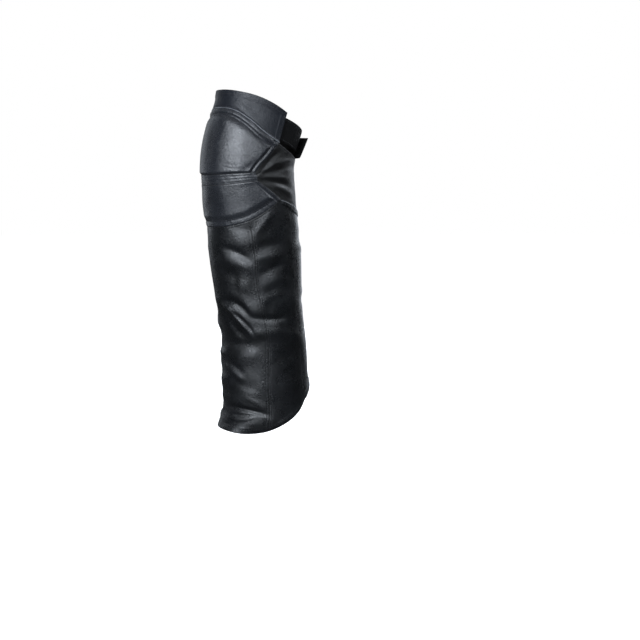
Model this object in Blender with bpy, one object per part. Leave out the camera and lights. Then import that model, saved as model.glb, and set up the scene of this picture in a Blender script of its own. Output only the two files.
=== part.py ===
"""Leather leg cover for the right leg, worn, with its hollow kept and no wearer.

Every panel is cut from one leg form. The form is a stack of oval sections along a
bent centre line. A place on it is an angle, in degrees round from the front towards
the inner side of the leg, and a height, in millimetres along the centre line from
the middle of the knee. A panel is a flat grid slab whose points are carried to the
form between its four sewn edges, so panels that share a seam share its line.

+Z is up, -Y is the front of the leg and +X is its inner side. The origin is the
middle of the thigh, at the level of the strap.
"""
import bpy
import bmesh
import numpy as np

MM = 0.001

# Driving dimensions, in millimetres
SEAM_GAP = 0.38
LEATHER = 1.8
BAND_WALL = 2.6
STRAP_WALL = 1.8
STRAP_CLEARANCE = 0.3
STITCHED_BORDER = 9.0
BORDER_RISE = 1.2
PAD_RISE = 4.4
PAD_SHOULDER = 11.0
KNEE_SEAM_RISE = 2.6
FOLDED_EDGE = 8.0
FOLDED_EDGE_RISE = 1.0
BACK_TOP_RISE = 1.8
STRAP_HALF_WIDTH = 19.0
ORIGIN_HEIGHT = 79.0

# Sections of the leg form: height, lean back in degrees, half width, depth to the
# front and depth to the back
SECTIONS = (
    (130, 18.0, 66.5, 79.0, 80.0),
    (95, 18.5, 67.0, 75.5, 77.0),
    (50, 17.5, 69.0, 72.5, 76.0),
    (15, 3.5, 70.5, 71.5, 75.0),
    (-20, -4.5, 70.0, 71.5, 76.0),
    (-60, -6.5, 71.5, 70.0, 73.5),
    (-100, -7.5, 71.0, 74.0, 74.5),
    (-150, -5.5, 70.5, 73.0, 72.5),
    (-200, -5.5, 69.5, 69.5, 69.5),
    (-250, -7.5, 69.0, 66.5, 66.5),
    (-300, -2.0, 68.0, 69.0, 69.0),
    (-350, -2.0, 68.0, 71.5, 71.5),
    (-385, -1.0, 68.5, 72.0, 72.5),
    (-425, 0.0, 70.0, 87.0, 74.0),
)

# Soft troughs and ridges of the worn leather: angle, height, slope in degrees,
# length, width, rise, and how far the ends bend up
FOLDS = (
    (38, -207, -43, 62, 10, -3.2, 4),
    (29, -225, -47, 70, 10, 3.2, -4),
    (17, -238, -48, 60, 10, -2.0, 0),
    (68, -238, -5, 52, 7, 2.4, 0),
    (74, -224, -5, 58, 9, -2.2, 0),
    (40, -113, -27, 58, 9, -2.2, -3),
    (36, -132, -16, 62, 12, 2.4, 0),
    (24, -151, -28, 48, 10, -1.8, 0),
    (80, -143, 20, 50, 10, -1.6, 0),
    (82, -121, -8, 46, 11, 1.3, 0),
    (84, -161, 9, 46, 11, 1.5, 0),
    (4, -249, 0, 86, 9, -1.8, 3),
    (20, -265, -6, 66, 11, 1.8, 0),
    (-20, -288, 0, 50, 9, 2.6, 0),
    (18, -303, -33, 50, 10, -2.0, 0),
    (-10, -331, 3, 52, 9, 1.8, 0),
    (0, -350, 5, 84, 10, -2.0, 0),
    (46, -362, -15, 50, 8, 1.6, 0),
    (26, -376, -3, 90, 7, -2.8, 3),
    (32, -389, 4, 76, 7, 2.2, -3),
    (-18, -369, 7, 56, 8, -1.8, 0),
    (-26, -220, -53, 62, 10, -2.6, 0),
    (-40, -228, -38, 64, 10, 2.6, 4),
    (-52, -246, -34, 60, 9, -2.2, 0),
    (-58, -120, 26, 64, 13, 2.0, 0),
    (-66, -142, 22, 60, 11, -1.8, 0),
    (-48, -316, -24, 66, 10, -2.2, 0),
    (-46, -296, -20, 60, 10, 1.8, 0),
    (96, -196, -8, 60, 14, 1.6, 0),
    (94, -292, 14, 62, 12, -1.8, 0),
    (98, -340, 8, 54, 12, 1.4, 0),
    (150, -112, 6, 80, 12, -2.0, 0),
    (186, -150, -12, 90, 13, 2.2, 5),
    (160, -206, 10, 90, 12, -2.4, 0),
    (212, -232, -14, 84, 12, 2.2, 0),
    (176, -276, 6, 96, 13, -2.4, -5),
    (228, -300, 16, 70, 11, -2.0, 0),
    (196, -318, -8, 80, 10, 1.8, 0),
    (248, -180, 22, 66, 12, -2.2, 0),
    (256, -346, 10, 60, 10, 1.8, 0),
    (89, 22, 52, 44, 6, -2.2, 0),
    (96, 7, 18, 54, 6, 2.0, 3),
    (97, -11, -12, 50, 6, -2.2, 0),
    (110, -26, -28, 50, 7, 1.8, 0),
    (142, 18, 10, 66, 9, -2.4, 0),
    (172, 2, -4, 90, 9, 2.6, -4),
    (180, -16, 4, 96, 8, -2.8, -4),
    (184, -36, -3, 90, 9, 2.4, -5),
    (268, 12, -40, 50, 7, -2.2, 0),
    (262, -6, -10, 60, 8, 2.2, 0),
    (256, -22, 14, 52, 7, -2.0, 0),
    (226, 18, -12, 62, 9, 2.0, 0),
    (60, 9, 34, 36, 8, -1.6, 0),
    (-54, 10, -34, 34, 8, -1.6, 0),
    (-106, 56, 0, 70, 34, 5.5, 0),
)

# Sewn lines of the pattern, as (angle, height)
RIM_POINTS = (
    (-108, 100), (-95, 104), (-60, 112), (-30, 116), (0, 115),
    (30, 115), (60, 114), (80, 110), (97, 105),
)
BAND_SEAM_POINTS = (
    (-108, 50), (-84, 59), (-60, 71), (-34, 81), (0, 84),
    (34, 82), (53, 73.5), (70, 63.5), (97, 53.5),
)
KNEE_STRIP_TOP_POINTS = ((-60, 2), (-30, 1), (0, 0), (36, 1), (70, 3))
KNEE_STRIP_LOW_POINTS = ((-63, -10), (-32, -12), (0, -13), (38, -12), (73, -9))
UPPER_INNER_SIDE_POINTS = ((70, 3), (76, 13), (84, 28), (97, 53.5))
UPPER_OUTER_SIDE_POINTS = ((-60, 2), (-70, 12), (-86, 26), (-108, 50))
LOWER_INNER_SIDE_POINTS = ((73, -9), (86, -22), (103, -42))
LOWER_OUTER_SIDE_POINTS = ((-63, -10), (-84, -21), (-110, -36))
KNEE_ARC_POINTS = (
    (-110, -36), (-84, -54), (-57, -68), (-34, -74), (0, -75),
    (36, -73.5), (57, -68.5), (81, -55.5), (103, -42),
)
GUSSET_TOP_POINTS = (
    (97, 53.5), (120, 47.5), (150, 42), (180, 39), (215, 41), (252, 50),
)
GUSSET_LOW_POINTS = (
    (103, -42), (122, -52.5), (150, -67), (180, -75), (215, -64), (250, -36),
)
INNER_SEAM_POINTS = (
    (57, -68.5), (60, -95), (60, -180), (63, -218), (65, -250), (65, -340),
    (66, -415.5),
)
BACK_INNER_SEAM_POINTS = (
    (122, -52.5), (120, -112), (119, -200), (121, -300), (124, -368),
)
BACK_OUTER_SEAM_POINTS = (
    (276, -54), (279, -112), (280, -210), (280, -290), (277, -405),
)
HEM_POINTS = (
    (-83, -405), (-60, -411), (-30, -412), (0, -415), (36, -418.5), (66, -415.5),
    (89, -402), (109, -386), (124, -368), (150, -351), (180, -344), (210, -350),
    (236, -365), (256, -386), (277, -405),
)

# Colours, linear, with roughness
FINISHES = {
    "pad_leather": ((0.040, 0.044, 0.052), 0.42),
    "band_leather": ((0.022, 0.025, 0.029), 0.45),
    "shin_leather": ((0.018, 0.020, 0.022), 0.42),
    "back_leather": ((0.012, 0.013, 0.013), 0.50),
    "strap_webbing": ((0.005, 0.005, 0.005), 0.75),
}

MM_PER_DEGREE = 1.24
LINE_STEP = 2.0
TABLE_STEP = 1.0


def smooth_column(rows, column, places):
    """One column of a table, read as a smooth curve over the first column."""
    rows = sorted(rows)
    stations = np.array([row[0] for row in rows], float)
    values = np.array([row[column] for row in rows], float)
    slopes = np.gradient(values, stations)
    i = np.clip(np.searchsorted(stations, places) - 1, 0, len(stations) - 2)
    step = stations[i + 1] - stations[i]
    t = (places - stations[i]) / step
    start = values[i] * (1 + 2 * t) * (1 - t) ** 2 + step * slopes[i] * t * (1 - t) ** 2
    end = values[i + 1] * t * t * (3 - 2 * t) - step * slopes[i + 1] * t * t * (1 - t)
    return start + end


class LegForm:
    """The leg form, with its sections read every millimetre of height."""

    def __init__(self, sections):
        self.heights = np.arange(sections[-1][0] - 15.0, sections[0][0] + 1.0, TABLE_STEP)
        self.lean = np.radians(smooth_column(sections, 1, self.heights))
        self.half_width = smooth_column(sections, 2, self.heights)
        self.front = smooth_column(sections, 3, self.heights)
        self.back = smooth_column(sections, 4, self.heights)
        self.centre_y = np.cumsum(np.sin(self.lean)) * TABLE_STEP
        self.centre_z = np.cumsum(np.cos(self.lean)) * TABLE_STEP
        origin = self.centre(ORIGIN_HEIGHT)
        self.centre_y -= origin[0]
        self.centre_z -= origin[1]

    def read(self, column, height):
        return np.interp(height, self.heights, column)

    def centre(self, height):
        return self.read(self.centre_y, height), self.read(self.centre_z, height)

    def point(self, angle, height):
        turn = np.radians(angle)
        lean = self.read(self.lean, height)
        centre_y, centre_z = self.centre(height)
        depth = np.where(
            np.cos(turn) > 0,
            self.read(self.front, height),
            self.read(self.back, height),
        )
        across = self.read(self.half_width, height) * np.sin(turn)
        behind = -depth * np.cos(turn)
        return np.stack(
            [across, centre_y + behind * np.cos(lean), centre_z - behind * np.sin(lean)],
            axis=-1,
        )

    def outward(self, angle, height):
        """Unit normals of the form, from two short steps along it."""
        here = self.point(angle, height)
        round_leg = self.point(angle + 0.5, height) - here
        up_leg = self.point(angle, height + 0.5) - here
        normal = np.cross(round_leg, up_leg)
        return normal / np.linalg.norm(normal, axis=-1, keepdims=True)


def fold_height(angle, height):
    """How far the worn leather stands out of the form, from the table of folds."""
    total = np.zeros_like(angle)
    for at_angle, at_height, slope, length, width, rise, bend in FOLDS:
        turn = (angle - at_angle + 180) % 360 - 180
        x = turn * MM_PER_DEGREE
        y = height - at_height
        slant = np.radians(slope)
        lengthwise = 2 * (x * np.cos(slant) + y * np.sin(slant)) / length
        crosswise = y * np.cos(slant) - x * np.sin(slant) - bend * lengthwise ** 2
        total = total + rise * np.exp(-(crosswise / width) ** 2 - lengthwise ** 4)
    return total


def sewn_line(points):
    """A smooth line through a few points of the pattern, about 2 mm apart."""
    points = np.array(points, float)
    flat = points * (MM_PER_DEGREE, 1.0)
    steps = np.linalg.norm(np.diff(flat, axis=0), axis=1)
    run = np.concatenate([[0.0], np.cumsum(steps)])
    places = np.linspace(0.0, run[-1], int(run[-1] / LINE_STEP) + 2)
    angle_rows = list(zip(run, points[:, 0]))
    height_rows = list(zip(run, points[:, 1]))
    return np.stack(
        [smooth_column(angle_rows, 1, places), smooth_column(height_rows, 1, places)],
        axis=-1,
    )


def between(line, first, last):
    """The stretch of a line between two angles."""
    heights = np.interp([first, last], line[:, 0], line[:, 1])
    inside = line[(line[:, 0] > first + 0.5) & (line[:, 0] < last - 0.5)]
    return np.vstack([[first, heights[0]], inside, [last, heights[1]]])


def turned(line, degrees):
    return line + np.array([degrees, 0.0])


def joined(first, second):
    return np.vstack([first, second[1:]])


def place_on(line, share):
    """Points at shares of a line's length, from 0 to 1."""
    steps = np.linalg.norm(np.diff(line * (MM_PER_DEGREE, 1.0), axis=0), axis=1)
    run = np.concatenate([[0.0], np.cumsum(steps)])
    run = run / run[-1]
    return np.stack(
        [np.interp(share, run, line[:, 0]), np.interp(share, run, line[:, 1])],
        axis=-1,
    )


class Panel:
    """A cut piece between four sewn lines: low, top, start side and end side.

    Low and top run with rising angle, and the sides run upwards.
    """

    def __init__(self, low, top, start, end):
        self.low = low
        self.top = top
        self.start = start
        self.end = end

    def blend(self, s, t):
        """Angle and height at shares s along the panel and t up it."""
        low = place_on(self.low, s)
        top = place_on(self.top, s)
        start = place_on(self.start, t)
        end = place_on(self.end, t)
        s = s[:, None]
        t = t[:, None]
        corners = (
            (1 - s) * (1 - t) * self.low[0] + s * (1 - t) * self.low[-1]
            + (1 - s) * t * self.top[0] + s * t * self.top[-1]
        )
        return (1 - t) * low + t * top + (1 - s) * start + s * end - corners

    def spans(self, s, t):
        """Width and height of the panel through a point, in millimetres."""
        scale = (MM_PER_DEGREE, 1.0)
        ends = [self.blend(np.full_like(s, side), t) * scale for side in (0.0, 1.0)]
        width = np.linalg.norm(ends[1] - ends[0], axis=1)
        ends = [self.blend(s, np.full_like(t, side)) * scale for side in (0.0, 1.0)]
        height = np.linalg.norm(ends[1] - ends[0], axis=1)
        return width, height

    def cut(self, s, t):
        """Angle and height inside half a seam gap, with the distance to each edge."""
        width, height = self.spans(s, t)
        s = (SEAM_GAP / 2 + s * (width - SEAM_GAP)) / width
        t = (SEAM_GAP / 2 + t * (height - SEAM_GAP)) / height
        edges = {
            "start": s * width,
            "end": (1 - s) * width,
            "low": t * height,
            "top": (1 - t) * height,
        }
        return self.blend(s, t), edges


def smoothstep(x):
    x = np.clip(x, 0.0, 1.0)
    return x * x * (3 - 2 * x)


def plain_relief(edges):
    return np.zeros_like(edges["low"])


def folded_edges(*sides, rise=FOLDED_EDGE_RISE, width=FOLDED_EDGE):
    """Relief of a wall that is folded over along some of its edges."""

    def relief(edges):
        nearest = np.min([edges[side] for side in sides], axis=0)
        return rise * (1 - smoothstep((nearest - width) / width))

    return relief


def knee_pad(knee_seam, *bordered):
    """Relief of a padded panel with a stitched border and a full knee seam."""

    def relief(edges):
        nearest = np.min([edges[side] for side in bordered], axis=0)
        rise = smoothstep((nearest - STITCHED_BORDER) / PAD_SHOULDER)
        pad = BORDER_RISE + (PAD_RISE - BORDER_RISE) * rise
        at_seam = 1 - smoothstep(edges[knee_seam] / PAD_SHOULDER)
        seam_rise = np.minimum(pad, KNEE_SEAM_RISE)
        return pad + (seam_rise - pad) * at_seam

    return relief


def knee_strip_relief(edges):
    ends = np.minimum(edges["start"], edges["end"])
    rise = smoothstep(ends / PAD_SHOULDER)
    return BORDER_RISE + (KNEE_SEAM_RISE - BORDER_RISE) * rise


def lies_on_form(angle, edges):
    return np.zeros_like(angle)


def make_material(name):
    colour, roughness = FINISHES[name]
    material = bpy.data.materials.new(name)
    material.use_nodes = True
    shader = material.node_tree.nodes["Principled BSDF"]
    shader.inputs["Base Color"].default_value = (*colour, 1.0)
    shader.inputs["Roughness"].default_value = roughness
    shader.inputs["Metallic"].default_value = 0.0
    return material


def make_wall(name, panel, columns, rows, wall=LEATHER, relief=plain_relief,
              lift=lies_on_form):
    """A panel as a closed wall: a flat slab whose points are carried to the form."""
    mesh_maker = bmesh.new()
    bmesh.ops.create_grid(mesh_maker, x_segments=columns, y_segments=rows, size=0.5)
    inner = list(mesh_maker.verts)
    copied = bmesh.ops.extrude_face_region(
        mesh_maker, geom=mesh_maker.faces[:], use_keep_orig=True
    )
    outer = {item for item in copied["geom"] if isinstance(item, bmesh.types.BMVert)}
    bmesh.ops.translate(mesh_maker, verts=list(outer), vec=(0.0, 0.0, 1.0))
    bmesh.ops.recalc_face_normals(mesh_maker, faces=mesh_maker.faces[:])

    points = list(inner) + list(outer)
    s = np.array([vertex.co.x + 0.5 for vertex in points])
    t = np.array([vertex.co.y + 0.5 for vertex in points])
    is_outer = np.array([vertex in outer for vertex in points], float)
    place, edges = panel.cut(s, t)
    angle, height = place[:, 0], place[:, 1]
    stand = lift(angle, edges) + fold_height(angle, height)
    stand = stand + is_outer * (wall + relief(edges))
    carried = FORM.point(angle, height) + FORM.outward(angle, height) * stand[:, None]
    for vertex, target in zip(points, carried * MM):
        vertex.co = target

    mesh = bpy.data.meshes.new(name)
    mesh_maker.to_mesh(mesh)
    mesh_maker.free()
    mesh.shade_smooth()
    mesh.set_sharp_from_angle(angle=np.radians(40))
    return mesh


def add_piece(name, mesh, material):
    piece = bpy.data.objects.new(name, mesh)
    mesh.materials.append(material)
    COLLECTION.objects.link(piece)
    return piece


FORM = LegForm(SECTIONS)
RIM = sewn_line(RIM_POINTS)
BAND_SEAM = sewn_line(BAND_SEAM_POINTS)
KNEE_STRIP_TOP = sewn_line(KNEE_STRIP_TOP_POINTS)
KNEE_STRIP_LOW = sewn_line(KNEE_STRIP_LOW_POINTS)
UPPER_INNER_SIDE = sewn_line(UPPER_INNER_SIDE_POINTS)
UPPER_OUTER_SIDE = sewn_line(UPPER_OUTER_SIDE_POINTS)
LOWER_INNER_SIDE = sewn_line(LOWER_INNER_SIDE_POINTS)
LOWER_OUTER_SIDE = sewn_line(LOWER_OUTER_SIDE_POINTS)
KNEE_ARC = sewn_line(KNEE_ARC_POINTS)
GUSSET_TOP = sewn_line(GUSSET_TOP_POINTS)
GUSSET_LOW = sewn_line(GUSSET_LOW_POINTS)
INNER_SEAM = sewn_line(INNER_SEAM_POINTS)
BACK_INNER_SEAM = sewn_line(BACK_INNER_SEAM_POINTS)
BACK_OUTER_SEAM = sewn_line(BACK_OUTER_SEAM_POINTS)
HEM = sewn_line(HEM_POINTS)
INNER_KNEE_END = KNEE_STRIP_TOP_POINTS[-1], KNEE_STRIP_LOW_POINTS[-1]
OUTER_KNEE_END = KNEE_STRIP_TOP_POINTS[0], KNEE_STRIP_LOW_POINTS[0]


def straight(first, last):
    return np.array([first, last], float)


def upwards(line):
    return line[::-1]


def top_band():
    panel = Panel(
        low=BAND_SEAM,
        top=RIM,
        start=straight(BAND_SEAM_POINTS[0], RIM_POINTS[0]),
        end=straight(BAND_SEAM_POINTS[-1], RIM_POINTS[-1]),
    )
    return make_wall(
        "top_band", panel, 28, 5, wall=BAND_WALL,
        relief=folded_edges("top", "start", "end", rise=0.6),
    )


def upper_knee_panel():
    panel = Panel(
        low=KNEE_STRIP_TOP,
        top=BAND_SEAM,
        start=UPPER_OUTER_SIDE,
        end=UPPER_INNER_SIDE,
    )
    relief = knee_pad("low", "start", "end", "top")
    return make_wall("upper_knee_panel", panel, 28, 13, relief=relief)


def knee_strip():
    panel = Panel(
        low=KNEE_STRIP_LOW,
        top=KNEE_STRIP_TOP,
        start=straight(*reversed(OUTER_KNEE_END)),
        end=straight(*reversed(INNER_KNEE_END)),
    )
    return make_wall("knee_strip", panel, 20, 2, relief=knee_strip_relief)


def lower_knee_panel():
    panel = Panel(
        low=KNEE_ARC,
        top=KNEE_STRIP_LOW,
        start=upwards(LOWER_OUTER_SIDE),
        end=upwards(LOWER_INNER_SIDE),
    )
    relief = knee_pad("top", "start", "end", "low")
    return make_wall("lower_knee_panel", panel, 30, 9, relief=relief)


def knee_gusset():
    low = joined(LOWER_INNER_SIDE, GUSSET_LOW)
    top = joined(UPPER_INNER_SIDE, GUSSET_TOP)
    panel = Panel(
        low=joined(low, turned(upwards(LOWER_OUTER_SIDE), 360)),
        top=joined(top, turned(upwards(UPPER_OUTER_SIDE), 360)),
        start=straight(*reversed(INNER_KNEE_END)),
        end=turned(straight(*reversed(OUTER_KNEE_END)), 360),
    )
    return make_wall("knee_gusset", panel, 38, 12)


def shin_panel():
    panel = Panel(
        low=between(HEM, HEM_POINTS[0][0], INNER_SEAM_POINTS[-1][0]),
        top=between(KNEE_ARC, BACK_OUTER_SEAM_POINTS[0][0] - 360, INNER_SEAM_POINTS[0][0]),
        start=turned(upwards(BACK_OUTER_SEAM), -360),
        end=upwards(INNER_SEAM),
    )
    return make_wall("shin_panel", panel, 24, 44, relief=folded_edges("low"))


def calf_inner_panel():
    panel = Panel(
        low=between(HEM, INNER_SEAM_POINTS[-1][0], BACK_INNER_SEAM_POINTS[-1][0]),
        top=joined(
            between(KNEE_ARC, INNER_SEAM_POINTS[0][0], KNEE_ARC_POINTS[-1][0]),
            between(GUSSET_LOW, GUSSET_LOW_POINTS[0][0], BACK_INNER_SEAM_POINTS[0][0]),
        ),
        start=upwards(INNER_SEAM),
        end=upwards(BACK_INNER_SEAM),
    )
    return make_wall("calf_inner_panel", panel, 10, 40, relief=folded_edges("low"))


def calf_back_panel():
    top = joined(
        between(GUSSET_LOW, BACK_INNER_SEAM_POINTS[0][0], GUSSET_LOW_POINTS[-1][0]),
        turned(
            between(KNEE_ARC, KNEE_ARC_POINTS[0][0], BACK_OUTER_SEAM_POINTS[0][0] - 360),
            360,
        ),
    )
    panel = Panel(
        low=between(HEM, BACK_INNER_SEAM_POINTS[-1][0], BACK_OUTER_SEAM_POINTS[-1][0]),
        top=top,
        start=upwards(BACK_INNER_SEAM),
        end=upwards(BACK_OUTER_SEAM),
    )
    return make_wall(
        "calf_back_panel", panel, 24, 32,
        relief=folded_edges("top", rise=BACK_TOP_RISE),
    )


def strap_panel(start, end):
    """A strap from one (angle, middle height) to another, at its full width."""
    half = np.array([0.0, STRAP_HALF_WIDTH])
    start = np.array(start, float)
    end = np.array(end, float)
    return Panel(
        low=straight(start - half, end - half),
        top=straight(start + half, end + half),
        start=straight(start - half, start + half),
        end=straight(end - half, end + half),
    )


def strap_inner():
    """The strap from under the inner end of the band, round the back of the thigh."""

    def lift(angle, edges):
        return np.full_like(angle, -STRAP_WALL - STRAP_CLEARANCE)

    panel = strap_panel((80, 79), (205, 75))
    return make_wall("strap_inner", panel, 17, 4, wall=STRAP_WALL, lift=lift)


def strap_outer():
    """The strap from under the outer end of the band, over the other to a free end."""
    free_length = 34.0
    free_lift = 7.0
    corner_lift = 4.5

    def lift(angle, edges):
        under = -STRAP_WALL - STRAP_CLEARANCE
        tucked = under * smoothstep((angle - 212) / 30)
        free = np.clip(1 - edges["start"] / free_length, 0.0, 1.0) ** 2
        high = edges["low"] / (2 * STRAP_HALF_WIDTH)
        return tucked + free * (free_lift + corner_lift * high)

    panel = strap_panel((146, 67), (262, 78))
    return make_wall("strap_outer", panel, 16, 4, wall=STRAP_WALL, lift=lift)


def build():
    finishes = {name: make_material(name) for name in FINISHES}
    add_piece("top_band", top_band(), finishes["band_leather"])
    add_piece("upper_knee_panel", upper_knee_panel(), finishes["pad_leather"])
    add_piece("knee_strip", knee_strip(), finishes["pad_leather"])
    add_piece("lower_knee_panel", lower_knee_panel(), finishes["pad_leather"])
    add_piece("knee_gusset", knee_gusset(), finishes["back_leather"])
    add_piece("shin_panel", shin_panel(), finishes["shin_leather"])
    add_piece("calf_inner_panel", calf_inner_panel(), finishes["shin_leather"])
    add_piece("calf_back_panel", calf_back_panel(), finishes["back_leather"])
    add_piece("strap_inner", strap_inner(), finishes["strap_webbing"])
    add_piece("strap_outer", strap_outer(), finishes["strap_webbing"])


for old_object in list(bpy.data.objects):
    bpy.data.objects.remove(old_object)
COLLECTION = bpy.data.collections.new("leather_leg_cover")
bpy.context.scene.collection.children.link(COLLECTION)
build()
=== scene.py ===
"""Looks of the leather leg cover: fine leather walls, sewing, finishes, light and camera.

The walls are cut as the solids are: a place on the leg form is an angle, in degrees
round from the front towards the inner side of the leg, and a height, in millimetres
along the centre line from the middle of the knee. A panel is a flat grid slab carried
to the form between its four sewn lines.
"""
import math

import bpy
import bmesh
import numpy as np
from mathutils import Matrix, Vector


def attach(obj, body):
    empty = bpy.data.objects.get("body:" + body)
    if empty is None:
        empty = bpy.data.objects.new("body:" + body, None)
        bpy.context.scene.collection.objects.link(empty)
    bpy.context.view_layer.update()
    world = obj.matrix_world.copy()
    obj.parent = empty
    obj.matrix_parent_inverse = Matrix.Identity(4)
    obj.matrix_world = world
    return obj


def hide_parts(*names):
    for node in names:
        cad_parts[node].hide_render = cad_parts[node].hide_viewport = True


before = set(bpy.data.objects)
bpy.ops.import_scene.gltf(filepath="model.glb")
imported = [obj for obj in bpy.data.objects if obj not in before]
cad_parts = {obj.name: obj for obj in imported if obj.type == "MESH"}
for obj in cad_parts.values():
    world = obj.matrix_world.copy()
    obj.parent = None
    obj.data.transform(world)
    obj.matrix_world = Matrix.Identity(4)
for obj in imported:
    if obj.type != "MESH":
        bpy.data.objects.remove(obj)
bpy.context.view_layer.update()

MM = 0.001

# Driving dimensions, in millimetres
SEAM_GAP = 0.04
LEATHER = 1.8
BAND_WALL = 2.6
STRAP_WALL = 1.8
STRAP_CLEARANCE = 0.3
STRAP_HALF_WIDTH = 19.0
UNDER_FORM = -STRAP_WALL - STRAP_CLEARANCE
STITCHED_BORDER = 9.0
BORDER_RISE = 1.2
PAD_RISE = 4.2
PAD_SHOULDER = 11.0
PAD_CROWN = 0.7
PAD_CROWN_REACH = 36.0
CHANNEL_SHIFT_SHARE = 0.4
UPPER_SEAM_RISE = 3.0
LOWER_SEAM_RISE = 2.1
STRIP_RISE = 1.9
FOLDED_EDGE = 8.0
FOLDED_EDGE_RISE = 1.0
FOLD_SLOPE = 3.0
HEM_RISE = 0.45
BACK_TOP_RISE = 1.8
ORIGIN_HEIGHT = 79.0
FORM_TAIL = 15.0
STITCH_INSET = 3.7
STRAP_INSET = 3.0
STITCH_LENGTH = 3.1
STITCH_PITCH = 3.9
THREAD_RADIUS = 0.32
THREAD_LIFT = 0.02
FREE_END_LENGTH = 34.0
FREE_END_LIFT = 7.0
FREE_CORNER_LIFT = 4.5

# Where the outer strap goes under the band's end, in degrees
STRAP_TUCK_ANGLE = 212
STRAP_TUCK_SPAN = 30

# Fine walls: cell in millimetres, fewest rows, how much closer the cells lie at the
# edges, rounding of the cut edges, and a distance too long to show the painted highlight line
CELL = 2.4
FEWEST_ROWS = 32
EDGE_DENSITY = 0.55
EDGE_ROUND = 0.4
NO_HIGHLIGHT_LINE = 100.0

# The pattern unrolled, and the steps of its lines and of the form's tables
MM_PER_DEGREE = 1.24
FLAT_SCALE = (MM_PER_DEGREE, 1.0)
LINE_STEP = 2.0
TABLE_STEP = 1.0

# Sections of the leg form: height, lean back in degrees, half width, depth to the
# front and depth to the back
SECTIONS = (
    (130, 18.0, 66.5, 79.0, 80.0),
    (95, 18.5, 67.0, 75.5, 77.0),
    (50, 17.5, 69.0, 72.5, 76.0),
    (15, 3.5, 70.5, 71.5, 75.0),
    (-20, -4.5, 70.0, 71.5, 76.0),
    (-60, -6.5, 71.5, 70.0, 73.5),
    (-100, -7.5, 71.0, 74.0, 74.5),
    (-150, -5.5, 70.5, 73.0, 72.5),
    (-200, -5.5, 69.5, 69.5, 69.5),
    (-250, -7.5, 69.0, 66.5, 66.5),
    (-300, -2.0, 68.0, 69.0, 69.0),
    (-350, -2.0, 68.0, 71.5, 71.5),
    (-385, -1.0, 68.5, 72.0, 72.5),
    (-425, 0.0, 70.0, 87.0, 74.0),
)

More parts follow.
